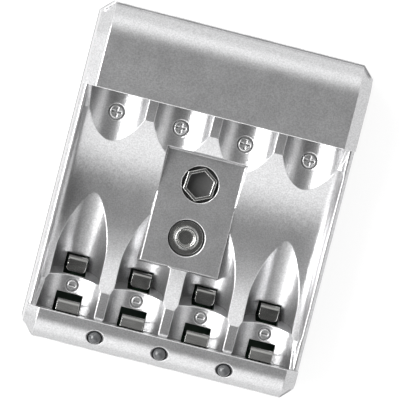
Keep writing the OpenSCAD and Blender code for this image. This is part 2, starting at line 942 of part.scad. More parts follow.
module power_inductor() {
    color("dimgray")
        translate([inductor_x, row_y + inductor_d / 2, board_top])
            rotate_extrude()
                polygon([
                    [0, 0], [inductor_d / 2, 0], [inductor_d / 2, flange_rim],
                    [inductor_d / 2 - flange_in, flange_rim],
                    [inductor_d / 2 - flange_in, inductor_h - flange_rim],
                    [inductor_d / 2, inductor_h - flange_rim], [inductor_d / 2, inductor_h], [0, inductor_h]
                ]);
}

module heat_sink() {
    color("silver")
        translate([sink_x, sink_y, board_top]) {
            block([-sink_w / 2, 0, 0], [sink_w / 2, sink_t, sink_h]);
            block([-sink_w / 2, 0, sink_h - sink_t], [sink_w / 2, 3 * sink_t, sink_h]);
        }
}

module power_transistor() {
    color("black")
        translate([sink_x, sink_y, board_top])
            block([-transistor_w / 2, -transistor_t, 0], [transistor_w / 2, 0, transistor_h]);
}

module jack_body() {
    color("black")
        translate([jack_x, 0, 0])
            difference() {
                union() {
                    block(
                        [-jack_w / 2, inner_back_y - jack_l, board_top],
                        [jack_w / 2, inner_back_y, board_top + jack_h]
                    );
                    translate([0, jack_face_y, jack_axis_z])
                        rotate([90, 0, 0])
                            cylinder(h = jack_nose_l + over, d = jack_nose_d);
                }
                translate([0, jack_face_y + over, jack_axis_z])
                    rotate([90, 0, 0])
                        cylinder(h = jack_depth + over, d = jack_bore_d);
            }
}

module jack_pin() {
    color("gold")
        translate([jack_x, jack_face_y - jack_depth, jack_axis_z])
            rotate([-90, 0, 0])
                rotate_extrude()
                    polygon([
                        [0, 0], [jack_pin_d / 2, 0], [jack_pin_d / 2, jack_pin_l - jack_pin_tip],
                        [jack_pin_d / 2 - jack_pin_tip, jack_pin_l], [0, jack_pin_l]
                    ]);
}

module led(k) {
    color("whitesmoke")
        translate([k * bay_pitch, 0, 0]) {
            translate([0, led_y, led_z])
                rotate([led_lean, 0, 0])
                    rotate_extrude()
                        intersection() {
                            union() {
                                translate([0, -led_body])
                                    square([led_d / 2, led_body + led_rise - led_d / 2]);
                                translate([0, -led_back])
                                    square([led_flange_d / 2, led_flange_t]);
                                translate([0, led_rise - led_d / 2])
                                    circle(d = led_d);
                            }
                            translate([0, -led_back])
                                square([led_d, led_back + led_rise]);
                        }
            for (s = [-1, 1])
                translate([s * led_lead_pitch / 2, led_root_y, 0])
                    block(
                        [-led_lead / 2, -led_lead / 2, leaf_tail_z],
                        [led_lead / 2, led_lead / 2, led_root_z + led_flange_t / 2]
                    );
        }
}

module positive_contact(i) {
    color("lightgray")
        translate([bay_x(i), head_y, 0]) {
            block([-plate_w / 2, 0, plate_z], [plate_w / 2, sheet_t, plate_z + plate_h]);
            block([-tail_w / 2, 0, leaf_tail_z], [tail_w / 2, sheet_t, plate_z + over]);
            intersection() {
                translate([0, dimple_r - dimple_out, aa_z])
                    sphere(dimple_r);
                block([-dimple_r, -dimple_r, aa_z - dimple_r], [dimple_r, sheet_t / 2, aa_z + dimple_r]);
            }
        }
}

module aa_contact(i) {
    path = [
        [aa_tail_y, leaf_tail_z],
        [aa_tail_y, aa_under_z - aa_root_drop],
        [aa_bend_y, aa_bend_z],
        [aa_tip_y, aa_tip_z]
    ];
    color("lightgray")
        translate([bay_x(i), 0, 0])
            along_x(aa_leaf_w)
                polygon(strip_outline(rounded_bend(path, 2, bend_r), sheet_t));
}

module aaa_contact(i) {
    path = [
        [aaa_tail_y, leaf_tail_z],
        [aaa_tail_y, aaa_end_z - wall],
        [aaa_bend_y, aaa_bend_z],
        [aaa_tip_y, aaa_tip_z]
    ];
    w = aaa_leaf_w;
    color("lightgray")
        translate([bay_x(i), 0, 0])
            intersection() {
                along_x(w)
                    polygon(strip_outline(rounded_bend(path, 2, bend_r), sheet_t));
                along_z(leaf_tail_z - over, aaa_tip_z + over)
                    union() {
                        translate([-w / 2, aaa_tip_y + aaa_tip_r])
                            square([w, aaa_bend_y - aaa_tip_y]);
                        translate([-w / 2 + aaa_tip_r, aaa_tip_y - sheet_t])
                            square([w - 2 * aaa_tip_r, aaa_tip_r + sheet_t + over]);
                        for (s = [-1, 1])
                            translate([s * (w / 2 - aaa_tip_r), aaa_tip_y + aaa_tip_r])
                                circle(aaa_tip_r);
                    }
            }
}

// Legs of the socket, with room round them for the holes in the strip
module socket_legs(room) {
    for (a = [leg_turn, leg_turn + 180])
        translate([0, snap_y[0], 0])
            rotate(a)
                translate([leg_r, 0, strip_z - clinch_h + (strip_t + clinch_h) / 2])
                    cube([leg_t + 2 * room, leg_w + 2 * room, strip_t + clinch_h], center = true);
}

module snap_board() {
    color("dimgray")
        difference() {
            block([-strip_w / 2, pad_y - strip_l / 2, strip_z], [strip_w / 2, pad_y + strip_l / 2, pad_under_z]);
            socket_legs(fit);
            translate([0, snap_y[1], strip_z - over])
                cylinder(h = strip_t + 2 * over, r = tube_r + tube_fit);
        }
}

module snap_socket() {
    color("lightgray") {
        translate([0, snap_y[0], pad_under_z])
            rotate(snap_turn)
                linear_extrude(snap_h)
                    difference() {
                        circle(d = socket_d, $fn = 6);
                        circle(d = socket_hole_d, $fn = 6);
                    }
        socket_legs(0);
    }
}

module snap_stud() {
    neck_h = snap_h - 3 * stud_round;
    foot_z = -strip_t - clinch_h;
    color("lightgray")
        translate([0, snap_y[1], pad_under_z])
            rotate_extrude()
                polygon([
                    [0, 0], [stud_hole_r, 0], [stud_hole_r, foot_z],
                    [tube_r + clinch_out, foot_z], [tube_r + clinch_out, -strip_t],
                    [tube_r, -strip_t], [tube_r, 0], [stud_flange_r, 0], [stud_flange_r, flange_t],
                    [stud_r - stud_neck, flange_t], [stud_r - stud_neck, neck_h], [stud_r, neck_h + stud_round],
                    [stud_r, snap_h - stud_round], [stud_r - stud_round, snap_h], [stud_r - stud_rim, snap_h],
                    [stud_hole_r, snap_h - stud_rim], [stud_hole_r, flange_t], [0, flange_t]
                ]);
}

module snap_lead(k) {
    color("lightgray")
        translate([lead_places[k - 1][0], lead_places[k - 1][1], leaf_tail_z])
            cylinder(h = strip_z - clinch_h - leaf_tail_z, d = lead_d);
}

upper_housing();
lower_cover();
cover_screws();
rubber_foot(1);  // rubber_foot_1
rubber_foot(2);  // rubber_foot_2
rubber_foot(3);  // rubber_foot_3
rubber_foot(4);  // rubber_foot_4
main_board();
board_screws();
controller_chip();
diodes();
resistors();
bulk_capacitor();
output_capacitor();
power_inductor();
power_transistor();
heat_sink();
jack_body();
jack_pin();
led(-1);  // led_1
led(0);  // led_2
led(1);  // led_3
positive_contact(1);  // positive_contact_1
positive_contact(2);  // positive_contact_2
positive_contact(3);  // positive_contact_3
positive_contact(4);  // positive_contact_4
aa_contact(1);  // aa_contact_1
aa_contact(2);  // aa_contact_2
aa_contact(3);  // aa_contact_3
aa_contact(4);  // aa_contact_4
aaa_contact(1);  // aaa_contact_1
aaa_contact(2);  // aaa_contact_2
aaa_contact(3);  // aaa_contact_3
aaa_contact(4);  // aaa_contact_4
snap_board();
snap_socket();
snap_stud();
snap_lead(1);  // snap_lead_1
snap_lead(2);  // snap_lead_2
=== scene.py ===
"""Looks of a four-bay cell charger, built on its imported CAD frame."""

import logging
import math
from dataclasses import dataclass, field, replace
from enum import Enum

import bmesh
import bpy
from mathutils import Matrix, Vector


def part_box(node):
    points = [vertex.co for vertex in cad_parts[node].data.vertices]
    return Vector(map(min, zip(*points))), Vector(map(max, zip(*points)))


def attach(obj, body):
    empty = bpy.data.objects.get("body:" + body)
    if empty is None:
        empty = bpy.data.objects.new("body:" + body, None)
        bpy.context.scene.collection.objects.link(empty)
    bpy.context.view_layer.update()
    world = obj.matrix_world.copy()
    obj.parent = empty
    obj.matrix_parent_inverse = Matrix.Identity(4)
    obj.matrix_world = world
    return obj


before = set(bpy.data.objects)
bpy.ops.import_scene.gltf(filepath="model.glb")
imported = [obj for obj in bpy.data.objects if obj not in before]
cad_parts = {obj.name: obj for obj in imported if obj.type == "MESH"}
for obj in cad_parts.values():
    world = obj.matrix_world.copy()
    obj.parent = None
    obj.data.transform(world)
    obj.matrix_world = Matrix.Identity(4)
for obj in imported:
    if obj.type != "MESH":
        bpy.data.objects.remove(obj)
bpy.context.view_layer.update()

MM = 0.001
BAYS = 4
LAMPS = 3
LOG = logging.getLogger("charger")

# The sRGB curve: a straight foot up to its knee, then a power.
SRGB_KNEE = 0.04045
SRGB_SLOPE = 12.92
SRGB_OFFSET = 0.055
SRGB_POWER = 2.4

# Finer layers of noise in the grain and in the patches of a surface.
GRAIN_DETAIL = 2.0
MOTTLE_DETAIL = 3.0
# Values of a noise that are taken as its lowest and its highest.
NOISE_RANGE = (0.3, 0.7)
# Values of the grain between which a speck turns from dark to light.
SPECK_RANGE = (0.35, 0.65)
# Cosine of the turn of the surface at which an edge begins and at which it is full.
EDGE_RANGE = (0.985, 0.82)
# Values of the patches between which the lighter edges grow, partly wear and partly painted highlight, and
# their least share.
EDGE_PATCH_RANGE = (0.35, 0.6)
EDGE_PATCH_LEAST = 0.4
# Openness at which a hand begins to reach a surface and at which it reaches it freely.
REACH_RANGE = (0.5, 0.9)
# Openness at which a hollow begins to take painted shade and at which the shade is full.
HOLLOW_SHADE_RANGE = (0.7, 0.3)
# Rays that look for edges and for hollows at each point.
LOOK_RAYS = 8

# Least cosine of half a bend, so that the corner of a sharp bend stays short.
MITRE_LEAST = 0.3
# Share of a sheet's thickness that its broken edges take.
BROKEN_EDGE = 0.15
# Points closer than this are one point, in metres.
WELD_M = 1e-7
# Outline of a solder joint from pole to pole, as shares of its radius and height.
JOINT_OUTLINE = ((0.0, 0.0), (1.0, 0.0), (0.68, -0.2), (0.5, -0.5), (0.4, -0.85), (0.0, -1.0))


class Grain(Enum):
    """Way in which the marks of a surface run, as a stretch of their noise."""

    EVEN = (1.0, 1.0, 1.0)
    ALONG_X = (0.06, 1.0, 1.0)
    ALONG_Z = (1.0, 1.0, 0.06)


class RowInput(Enum):
    """Named inputs of the tree that lays a row, with their socket types."""

    COUNT = ("Count", "NodeSocketInt")
    PITCH = ("Pitch", "NodeSocketVector")
    START = ("Start", "NodeSocketVector")
    TURN = ("Turn", "NodeSocketVector")
    SHAPE = ("Shape", "NodeSocketObject")
    FINISH = ("Finish", "NodeSocketMaterial")


def linear(code: str) -> tuple[float, float, float, float]:
    """Turn an sRGB hex code into a linear colour.

    Args:
        code: Six hex digits with a leading hash.

    Returns:
        Red, green, blue and an alpha of one.
    """
    channels = [int(code[i : i + 2], 16) / 255 for i in (1, 3, 5)]
    red, green, blue = (
        level / SRGB_SLOPE
        if level <= SRGB_KNEE
        else ((level + SRGB_OFFSET) / (1 + SRGB_OFFSET)) ** SRGB_POWER
        for level in channels
    )
    return red, green, blue, 1.0


def darker(colour: tuple[float, float, float, float], share: float) -> tuple[float, float, float, float]:
    """Darken a linear colour.

    Args:
        colour: The colour.
        share: Share of its light that is lost.

    Returns:
        The darker colour.
    """
    red, green, blue, alpha = colour
    return red * (1 - share), green * (1 - share), blue * (1 - share), alpha


@dataclass
class Graph:
    """Node tree that is filled one node at a time.

    Attributes:
        tree: The tree that takes the nodes.
    """

    tree: bpy.types.NodeTree

    def add(
        self,
        kind: str,
        settings: dict[str, object] | None = None,
        values: dict[str | int, object] | None = None,
        links: dict[str | int, bpy.types.NodeSocket] | None = None,
    ) -> bpy.types.Node:
        """Add a node, set it and link its inputs.

        Args:
            kind: Blender's type name of the node.
            settings: Attributes of the node.
            values: Constant values of inputs, by name or index.
            links: Sockets that feed inputs, by name or index.

        Returns:
            The new node.
        """
        made = self.tree.nodes.new(kind)
        for name, value in (settings or {}).items():
            setattr(made, name, value)
        for key, value in (values or {}).items():
            made.inputs[key].default_value = value
        for key, socket in (links or {}).items():
            self.tree.links.new(socket, made.inputs[key])
        return made

    def ramp(
        self,
        value: bpy.types.NodeSocket,
        ends: tuple[float, float],
        results: tuple[float, float] = (0.0, 1.0),
        smooth: bool = False,
    ) -> bpy.types.NodeSocket:
        """Map a range of a value onto another range.

        Args:
            value: The value.
            ends: The values at which the ramp begins and ends.
            results: What they become.
            smooth: Whether the ramp begins and ends softly.

        Returns:
            The mapped value.
        """
        mapped = self.add(
            "ShaderNodeMapRange",
            {"interpolation_type": "SMOOTHSTEP" if smooth else "LINEAR"},
            {"From Min": ends[0], "From Max": ends[1], "To Min": results[0], "To Max": results[1]},
            {"Value": value},
        )
        return mapped.outputs["Result"]


@dataclass(frozen=True)
class Finish:
    """Surface of one real material.

    Attributes:
        name: Name of the real material.
        colour: sRGB hex code of its body colour.
        metallic: Share of metal in its reflection.
        roughness: Middle roughness.
        spread: Change of roughness from patch to patch.
        mottle_mm: Size of the patches.
        grain_mm: Size of the surface grain.
        grain_depth_mm: Height of the surface grain.
        grain: Way in which the grain runs.
        tint: Share of light that the grain takes from the colour.
        edge_mm: Radius that the light sees on a sharp edge.
        edge_wear_and_highlight: sRGB hex code of edges painted lighter, partly as wear and partly as a
            painted highlight, or None.
        scatter: Share of the mirror that these lighter edges lose.
        hollow_shade: sRGB hex code of the painted shade in narrow hollows, or None.
        hollow_shade_mm: Reach within which a hollow takes painted shade.
        flake_mm: Size of the flakes in a paint.
        flake_tilt: How far the flakes lean.
        deep: sRGB hex code of the painted shade low down, or None.
        deep_mm: Heights between which the painted shade fades out.
        coat: Weight of a clear coat.
        transmission: Share of light that passes.
        glow: Light that comes through the material from behind.
    """

    name: str
    colour: str
    metallic: float = 0.0
    roughness: float = 0.5
    spread: float = 0.05
    mottle_mm: float = 3.0
    grain_mm: float = 0.3
    grain_depth_mm: float = 0.004
    grain: Grain = Grain.EVEN
    tint: float = 0.08
    edge_mm: float = 0.0
    edge_wear_and_highlight: str | None = None
    scatter: float = 0.0
    hollow_shade: str | None = None
    hollow_shade_mm: float = 0.6
    flake_mm: float = 0.0
    flake_tilt: float = 0.0
    deep: str | None = None
    deep_mm: tuple[float, float] = (0.0, 0.0)
    coat: float = 0.0
    transmission: float = 0.0
    glow: float = 0.0

    def build(self) -> bpy.types.Material:
        """Build the material with its grain, patches, edges and flakes.

        Returns:
            The material.
        """
        material = bpy.data.materials.new(self.name)
        material.use_nodes = True
        graph = Graph(material.node_tree)
        graph.tree.nodes.clear()
        place = graph.add("ShaderNodeTexCoord").outputs["Object"]
        run = graph.add("ShaderNodeMapping", None, {"Scale": self.grain.value}, {"Vector": place})
        grain = graph.add(
            "ShaderNodeTexNoise",
            None,
            {"Scale": 1 / (self.grain_mm * MM), "Detail": GRAIN_DETAIL},
            {"Vector": run.outputs["Vector"]},
        ).outputs["Fac"]
        mottle = graph.add(
            "ShaderNodeTexNoise",
            None,
            {"Scale": 1 / (self.mottle_mm * MM), "Detail": MOTTLE_DETAIL},
            {"Vector": place},
        ).outputs["Fac"]
        rough = graph.ramp(mottle, NOISE_RANGE, (self.roughness - self.spread, self.roughness + self.spread))
        normal, edge = self._normal(graph, place, grain)
        open_sky = self._open_sky(graph)
        rubbed_and_highlit = self._rubbed_and_highlit(graph, edge, mottle, open_sky)
        shader = graph.add(
            "ShaderNodeBsdfPrincipled",
            None,
            {
                "Metallic": self.metallic,
                "Coat Weight": self.coat,
                "Transmission Weight": self.transmission,
                "Emission Color": (1.0, 1.0, 1.0, 1.0),
                "Emission Strength": self.glow,
            },
            {
                "Base Color": self._colour(graph, place, grain, rubbed_and_highlit, open_sky),
                "Roughness": rough,
                "Normal": normal,
            },
        )
        # Edges painted lighter also lose part of their mirror.
        if rubbed_and_highlit and self.scatter:
            mirror = graph.ramp(rubbed_and_highlit, (0.0, 1.0), (self.metallic, self.metallic * (1 - self.scatter)))
            graph.tree.links.new(mirror, shader.inputs["Metallic"])
        graph.add("ShaderNodeOutputMaterial", None, None, {"Surface": shader.outputs["BSDF"]})
        return material

    def _normal(
        self, graph: Graph, place: bpy.types.NodeSocket, grain: bpy.types.NodeSocket
    ) -> tuple[bpy.types.NodeSocket, bpy.types.NodeSocket | None]:
        """Bump the surface, round its edges and lean its flakes.

        Args:
            graph: The tree of the material.
            place: Coordinates on the object.
            grain: Height of the grain.

        Returns:
            The normal, and a mask of the edges or None.
        """
        bump = graph.add("ShaderNodeBump", None, {"Distance": self.grain_depth_mm * MM}, {"Height": grain})
        normal, edge = bump.outputs["Normal"], None
        if self.edge_mm:
            rounded = graph.add(
                "ShaderNodeBevel", {"samples": LOOK_RAYS}, {"Radius": self.edge_mm * MM}
            ).outputs["Normal"]
            graph.tree.links.new(rounded, bump.inputs["Normal"])
            flat = graph.add("ShaderNodeNewGeometry").outputs["Normal"]
            turned = graph.add(
                "ShaderNodeVectorMath", {"operation": "DOT_PRODUCT"}, None, {0: rounded, 1: flat}
            )
            edge = graph.ramp(turned.outputs["Value"], EDGE_RANGE)
        if self.flake_mm:
            flakes = graph.add(
                "ShaderNodeTexVoronoi", None, {"Scale": 1 / (self.flake_mm * MM)}, {"Vector": place}
            )
            lean = graph.add(
                "ShaderNodeVectorMath",
                {"operation": "MULTIPLY_ADD"},
                {1: (self.flake_tilt,) * 3, 2: (-self.flake_tilt / 2,) * 3},
                {0: flakes.outputs["Color"]},
            )
            tipped = graph.add(
                "ShaderNodeVectorMath", {"operation": "ADD"}, None, {0: normal, 1: lean.outputs["Vector"]}
            )
            normal = graph.add(
                "ShaderNodeVectorMath", {"operation": "NORMALIZE"}, None, {0: tipped.outputs["Vector"]}
            ).outputs["Vector"]
        return normal, edge

    def _open_sky(self, graph: Graph) -> bpy.types.NodeSocket | None:
        """Measure how open the surface lies, so that its hollows can take painted shade.

        Args:
            graph: The tree of the material.

        Returns:
            One in the open and less in a hollow, or None for a finish without painted shade in its hollows.
        """
        if not self.hollow_shade:
            return None
        look = graph.add(
            "ShaderNodeAmbientOcclusion", {"samples": LOOK_RAYS}, {"Distance": self.hollow_shade_mm * MM}
        )
        return look.outputs["AO"]

    def _rubbed_and_highlit(
        self,
        graph: Graph,
        edge: bpy.types.NodeSocket | None,
        mottle: bpy.types.NodeSocket,
        open_sky: bpy.types.NodeSocket | None,
    ) -> bpy.types.NodeSocket | None:
        """Break up the mask of the edges, so that their lighter colour, partly wear and partly a painted
        highlight, comes in patches and only where a hand reaches.

        Args:
            graph: The tree of the material.
            edge: Mask of the edges, or None.
            mottle: Patches of the surface.
            open_sky: How open the surface lies, or None.

        Returns:
            The mask of the lighter edges, or None.
        """
        if not (self.edge_wear_and_highlight and edge):
            return None
        patchy = graph.ramp(mottle, EDGE_PATCH_RANGE, (EDGE_PATCH_LEAST, 1.0))
        rubbed_and_highlit = graph.add("ShaderNodeMath", {"operation": "MULTIPLY"}, None, {0: edge, 1: patchy}).outputs[0]
        if open_sky:
            reach = graph.ramp(open_sky, REACH_RANGE)
            rubbed_and_highlit = graph.add(
                "ShaderNodeMath", {"operation": "MULTIPLY"}, None, {0: rubbed_and_highlit, 1: reach}
            ).outputs[0]
        return rubbed_and_highlit

    def _colour(
        self,
        graph: Graph,
        place: bpy.types.NodeSocket,
        grain: bpy.types.NodeSocket,
        rubbed_and_highlit: bpy.types.NodeSocket | None,
        open_sky: bpy.types.NodeSocket | None,
    ) -> bpy.types.NodeSocket:
        """Vary the colour by grain, painted shade in hollows and low down, and edges painted lighter as wear
        and as a painted highlight.

        Args:
            graph: The tree of the material.
            place: Coordinates on the object.
            grain: Height of the grain.
            rubbed_and_highlit: Mask of edges painted lighter, partly as wear and partly as a painted
                highlight, or None.
            open_sky: How open the surface lies, or None.

        Returns:
            The colour.
        """
        base = linear(self.colour)
        colour = graph.add(
            "ShaderNodeMix",
            {"data_type": "RGBA"},
            {6: darker(base, self.tint), 7: base},
            {0: graph.ramp(grain, SPECK_RANGE)},
        ).outputs[2]
        layers = []
        # Hollows painted darker, as painted shade.
        if open_sky:
            layers.append((self.hollow_shade, graph.ramp(open_sky, HOLLOW_SHADE_RANGE)))
        # Edges painted lighter, partly as wear and partly as a painted highlight.
        if rubbed_and_highlit:
            layers.append((self.edge_wear_and_highlight, rubbed_and_highlit))
        # Low parts painted darker, as painted shade.
        if self.deep:
            height = graph.add("ShaderNodeSeparateXYZ", None, None, {"Vector": place}).outputs["Z"]
            low, high = self.deep_mm
            layers.append((self.deep, graph.ramp(height, (high * MM, low * MM))))
        for code, share in layers:
            colour = graph.add(
                "ShaderNodeMix", {"data_type": "RGBA"}, {7: linear(code)}, {0: share, 6: colour}
            ).outputs[2]
        return colour


# Sprayed metallic paint on moulded ABS: a satin silver that shows which way each curve faces.
# Its real flakes are about 0.03 mm across; they are drawn at 0.3 mm so that their sparkle shows.
SILVER_PAINT = Finish(
    "satin_silver_paint",
    "#c6c6c7",
    metallic=0.88,
    roughness=0.31,
    spread=0.02,
    mottle_mm=5.0,
    grain_mm=0.32,
    grain_depth_mm=0.003,
    tint=0.24,
    edge_mm=0.36,
    # Edges painted near white, partly as wear and partly as a painted highlight.
    edge_wear_and_highlight="#f4f4f4",
    scatter=0.7,
    # Hollows painted dark grey, as painted shade.
    hollow_shade="#4a4a4a",
    flake_mm=0.3,
    flake_tilt=0.05,
)
# Moulded ABS with a spark-eroded grain: a dull dark grey that scatters light evenly.
GREY_ABS = Finish(
    "spark_grain_abs",
    "#3c3e40",
    roughness=0.55,
    grain_mm=0.3,
    grain_depth_mm=0.012,
    edge_mm=0.2,
    # Edges painted lighter, partly as wear and partly as a painted highlight.
    edge_wear_and_highlight="#55585a",
)
# Nickel-plated spring steel: a dark mirror with rolling lines across its width and sheared edges painted
# bright, partly as wear and partly as a painted highlight.
SPRING_SHEET = Finish(
    "nickel_spring_sheet",
    "#8f8f8d",
    metallic=1.0,
    roughness=0.2,
    mottle_mm=2.0,
    grain_mm=0.18,
    grain_depth_mm=0.0015,
    grain=Grain.ALONG_X,
    tint=0.2,
    edge_mm=0.16,
    edge_wear_and_highlight="#f2f2f0",
)
# Deep-drawn nickel-plated brass: smooth, with rims painted bright, partly as wear and partly as a painted
# highlight, and painted shade low down inside.
DRAWN_NICKEL = Finish(
    "drawn_nickel",
    "#c6c6c4",
    metallic=1.0,
    roughness=0.22,
    spread=0.03,
    mottle_mm=1.5,
    grain_mm=0.2,
    grain_depth_mm=0.001,
    tint=0.15,
    edge_mm=0.22,
    edge_wear_and_highlight="#fafaf8",
    # Painted shade low down inside the wells of the snaps.
    deep="#b2b2b0",
)
# Cast epoxy lamp lens: smoked, glossy and a little see-through.
LENS = Finish(
    "smoked_lens_epoxy",
    "#5c5d5f",
    roughness=0.08,
    spread=0.02,
    grain_mm=0.6,
    grain_depth_mm=0.0006,
    transmission=0.35,
)
# Moulded nitrile rubber: nearly black and quite dull.
RUBBER = Finish("black_rubber", "#1b1b1b", roughness=0.75, mottle_mm=2.0, grain_mm=0.25, grain_depth_mm=0.01)
# Zinc-plated steel: a cool grey metal with fine turning marks.
ZINC_STEEL = Finish(
    "zinc_plated_steel",
    "#a9aaab",
    metallic=1.0,
    roughness=0.35,
    mottle_mm=1.5,
    grain_mm=0.2,
    grain_depth_mm=0.0015,
    edge_mm=0.1,
    # Edges painted lighter, partly as wear and partly as a painted highlight.
    edge_wear_and_highlight="#d8d8d8",
)
# Solder resist over glass laminate: a glossy dark green with the weave just showing.
RESIST = Finish("green_solder_resist", "#12351f", roughness=0.32, mottle_mm=4.0, grain_mm=0.5, tint=0.15)
# Moulding epoxy of chips and the inlet: dull black with a fine ejector texture.
EPOXY = Finish(
    "black_moulding_epoxy",
    "#161617",
    roughness=0.5,
    mottle_mm=2.0,
    grain_mm=0.2,
    edge_mm=0.12,
    # Edges painted lighter, partly as wear and partly as a painted highlight.
    edge_wear_and_highlight="#2c2c2d",
)
# Heat-shrunk sleeve: dark blue and glossy.
SLEEVE = Finish(
    "shrunk_sleeve",
    "#1c2236",
    roughness=0.28,
    mottle_mm=2.0,
    grain_mm=0.6,
    grain_depth_mm=0.002,
    coat=0.3,
)
# Ground ferrite: a dull dark grey ceramic with pores.
FERRITE = Finish(
    "ground_ferrite",
    "#3a3a3c",
    metallic=0.2,
    roughness=0.5,
    mottle_mm=1.0,
    grain_mm=0.2,
    tint=0.2,
)
# Mill-finish aluminium: soft metal with lines along the rolling.
ALUMINIUM = Finish(
    "mill_aluminium",
    "#c4c5c6",
    metallic=1.0,
    roughness=0.38,
    grain_mm=0.3,
    grain_depth_mm=0.002,
    grain=Grain.ALONG_Z,
)
# Turned brass: warm and bright.
BRASS = Finish(
    "turned_brass",
    "#c9a75e",
    metallic=1.0,
    roughness=0.25,
    mottle_mm=1.0,
    grain_mm=0.2,
    grain_depth_mm=0.001,
)
# Punched paper laminate: a dull dark grey board with a fibrous surface.
LAMINATE = Finish("dark_paper_laminate", "#3c3c3c", roughness=0.6, mottle_mm=2.0, grain_mm=0.4, tint=0.15)
# Tinned copper: a pale soft metal.
TINNED = Finish(
    "tinned_copper",
    "#b4b5b6",
    metallic=1.0,
    roughness=0.35,
    mottle_mm=1.0,
    grain_mm=0.2,
    grain_depth_mm=0.001,
)
# Tin solder: bright, with a slightly frosted skin.
SOLDER = Finish(
    "tin_solder",
    "#c3c4c6",
    metallic=1.0,
    roughness=0.3,
    spread=0.1,
    mottle_mm=0.6,
    grain_mm=0.15,
)
# White paper sheet on a light table: it is lit from below, so hardly any shadow shows on it.
PAPER = Finish(
    "lit_white_paper",
    "#727272",
    roughness=0.9,
    mottle_mm=20.0,
    grain_mm=0.5,
    tint=0.01,
    glow=0.86,
)


@dataclass
class Dresser:
    """Gives pieces their materials and keeps one copy of each.

    Attributes:
        made: Materials by finish.
    """

    made: dict[Finish, bpy.types.Material] = field(default_factory=dict)

    def material(self, finish: Finish) -> bpy.types.Material:
        """Fetch the material of a finish, building it once.

        Args:
            finish: The finish.

        Returns:
            Its material.
        """
        if finish not in self.made:
            self.made[finish] = finish.build()
        return self.made[finish]

    def dress(self, node: str, finish: Finish) -> None:
        """Cover a CAD node with one finish.

        Args:
            node: Name of the node.
            finish: The finish.
        """
        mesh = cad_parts[node].data
        mesh.materials.clear()
        mesh.materials.append(self.material(finish))
        LOG.info("%s: %s", node, finish.name)


@dataclass(frozen=True)
class Row:
    """Even row of one shape.

    Attributes:
        count: Number of copies.
        start: Place of the first copy, in metres.
        pitch: Way from one copy to the next, in metres.
        turn_deg: Turn of each copy about the upright axis.
    """

    count: int
    start: Vector
    pitch: Vector
    turn_deg: float = 0.0


class RowLayer:
    """Geometry Nodes tree that lays rows of a shape, and the way to use it.

    Attributes:
        tree: The node tree.
        names: Identifiers of its inputs.
    """

    def __init__(self) -> None:
        """Build the tree with its named inputs."""
        self.tree = bpy.data.node_groups.new("row_of_pieces", "GeometryNodeTree")
        sockets = self.tree.interface
        sockets.new_socket("Geometry", in_out="INPUT", socket_type="NodeSocketGeometry")
        self.names = {
            item: sockets.new_socket(item.value[0], in_out="INPUT", socket_type=item.value[1]).identifier
            for item in RowInput
        }
        sockets.new_socket("Geometry", in_out="OUTPUT", socket_type="NodeSocketGeometry")
        graph = Graph(self.tree)
        given = graph.add("NodeGroupInput").outputs
        line = graph.add(
            "GeometryNodeMeshLine",
            {"mode": "OFFSET", "count_mode": "TOTAL"},
            None,
            {"Count": given["Count"], "Start Location": given["Start"], "Offset": given["Pitch"]},
        )
        shape = graph.add("GeometryNodeObjectInfo", None, None, {"Object": given["Shape"]})
        copies = graph.add(
            "GeometryNodeInstanceOnPoints",
            None,
            None,
            {
                "Points": line.outputs["Mesh"],
                "Instance": shape.outputs["Geometry"],
                "Rotation": given["Turn"],
            },
        )
        whole = graph.add(
            "GeometryNodeRealizeInstances", None, None, {"Geometry": copies.outputs["Instances"]}
        )
        dressed = graph.add(
            "GeometryNodeSetMaterial",
            None,
            None,
            {"Geometry": whole.outputs["Geometry"], "Material": given["Finish"]},
        )
        graph.add("NodeGroupOutput", None, None, {"Geometry": dressed.outputs["Geometry"]})

    def lay(
        self,
        name: str,
        shape: bmesh.types.BMesh,
        rows: list[Row],
        material: bpy.types.Material,
        slot: str,
    ) -> None:
        """Lay rows of a shape as one piece that rides on the charger.

        Args:
            name: Name of the piece.
            shape: The shape, which is used up.
            rows: The rows.
            material: Material of the piece.
            slot: Material slot of the record; not used.
        """
        scene = bpy.context.scene
        pattern_mesh = bpy.data.meshes.new(f"{name}_pattern")
        bmesh.ops.recalc_face_normals(shape, faces=shape.faces)
        shape.to_mesh(pattern_mesh)
        shape.free()
        pattern = bpy.data.objects.new(f"{name}_pattern", pattern_mesh)
        scene.collection.objects.link(pattern)
        whole = bmesh.new()
        for row in rows:
            carrier = bpy.data.objects.new(f"{name}_row", bpy.data.meshes.new(f"{name}_row"))
            scene.collection.objects.link(carrier)
            modifier = carrier.modifiers.new("row", "NODES")
            modifier.node_group = self.tree
            modifier[self.names[RowInput.COUNT]] = row.count
            modifier[self.names[RowInput.PITCH]] = tuple(row.pitch)
            modifier[self.names[RowInput.START]] = tuple(row.start)
            modifier[self.names[RowInput.TURN]] = (0.0, 0.0, math.radians(row.turn_deg))
            modifier[self.names[RowInput.SHAPE]] = pattern
            modifier[self.names[RowInput.FINISH]] = material
            filled = carrier.evaluated_get(bpy.context.evaluated_depsgraph_get())
            whole.from_mesh(bpy.data.meshes.new_from_object(filled))
            carrier.modifiers.remove(modifier)
            bpy.data.objects.remove(carrier)
        bpy.data.objects.remove(pattern)
        mesh = bpy.data.meshes.new(name)
        whole.to_mesh(mesh)
        whole.free()
        mesh.materials.append(material)
        piece = bpy.data.objects.new(name, mesh)
        scene.collection.objects.link(piece)
        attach(piece, "charger")
        LOG.info("%s: %d faces", name, len(mesh.polygons))


